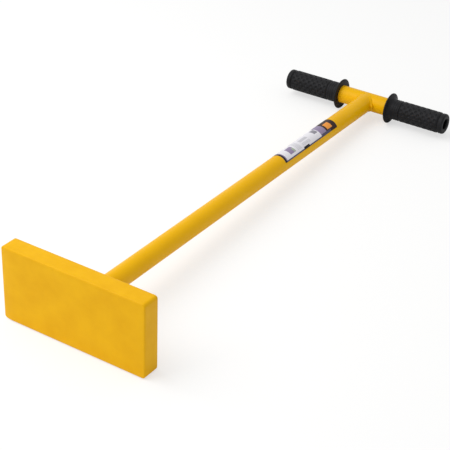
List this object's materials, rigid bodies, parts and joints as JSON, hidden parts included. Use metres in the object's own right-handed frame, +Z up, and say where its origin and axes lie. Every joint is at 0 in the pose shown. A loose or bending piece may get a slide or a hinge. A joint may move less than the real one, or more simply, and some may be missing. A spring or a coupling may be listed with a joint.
{
  "type": "hand tamper",
  "caption": "T-handled hand tamper: flat rectangular steel head on a tube shaft, with a cross handle and moulded rubber grips.",
  "frame": {"origin": "on the ground under the middle of the tool's box, as it lies on the head's lower back edge and the two flange rims", "axes": "+Y runs from the head to the handle, +Z is up, +X runs along the handle to the right seen from the head"},
  "size_m": [0.32, 0.8742, 0.1209],
  "materials": {
    "head_paint": "satin yellow paint on flat bar, slightly uneven",
    "tube_paint": "gloss yellow paint on smooth tube",
    "weld_paint": "yellow paint over a rippled weld bead",
    "grip_rubber": "satin black moulded rubber with a raised pattern",
    "label_film": null
  },
  "bodies": {
    "root": {"head_plate": "head_paint", "shaft_tube": "tube_paint", "cross_tube": "tube_paint", "plate_weld": "weld_paint", "tee_weld": "weld_paint", "left_grip": "grip_rubber", "right_grip": "grip_rubber", "label": "label_film"}
  },
  "joints": []
}
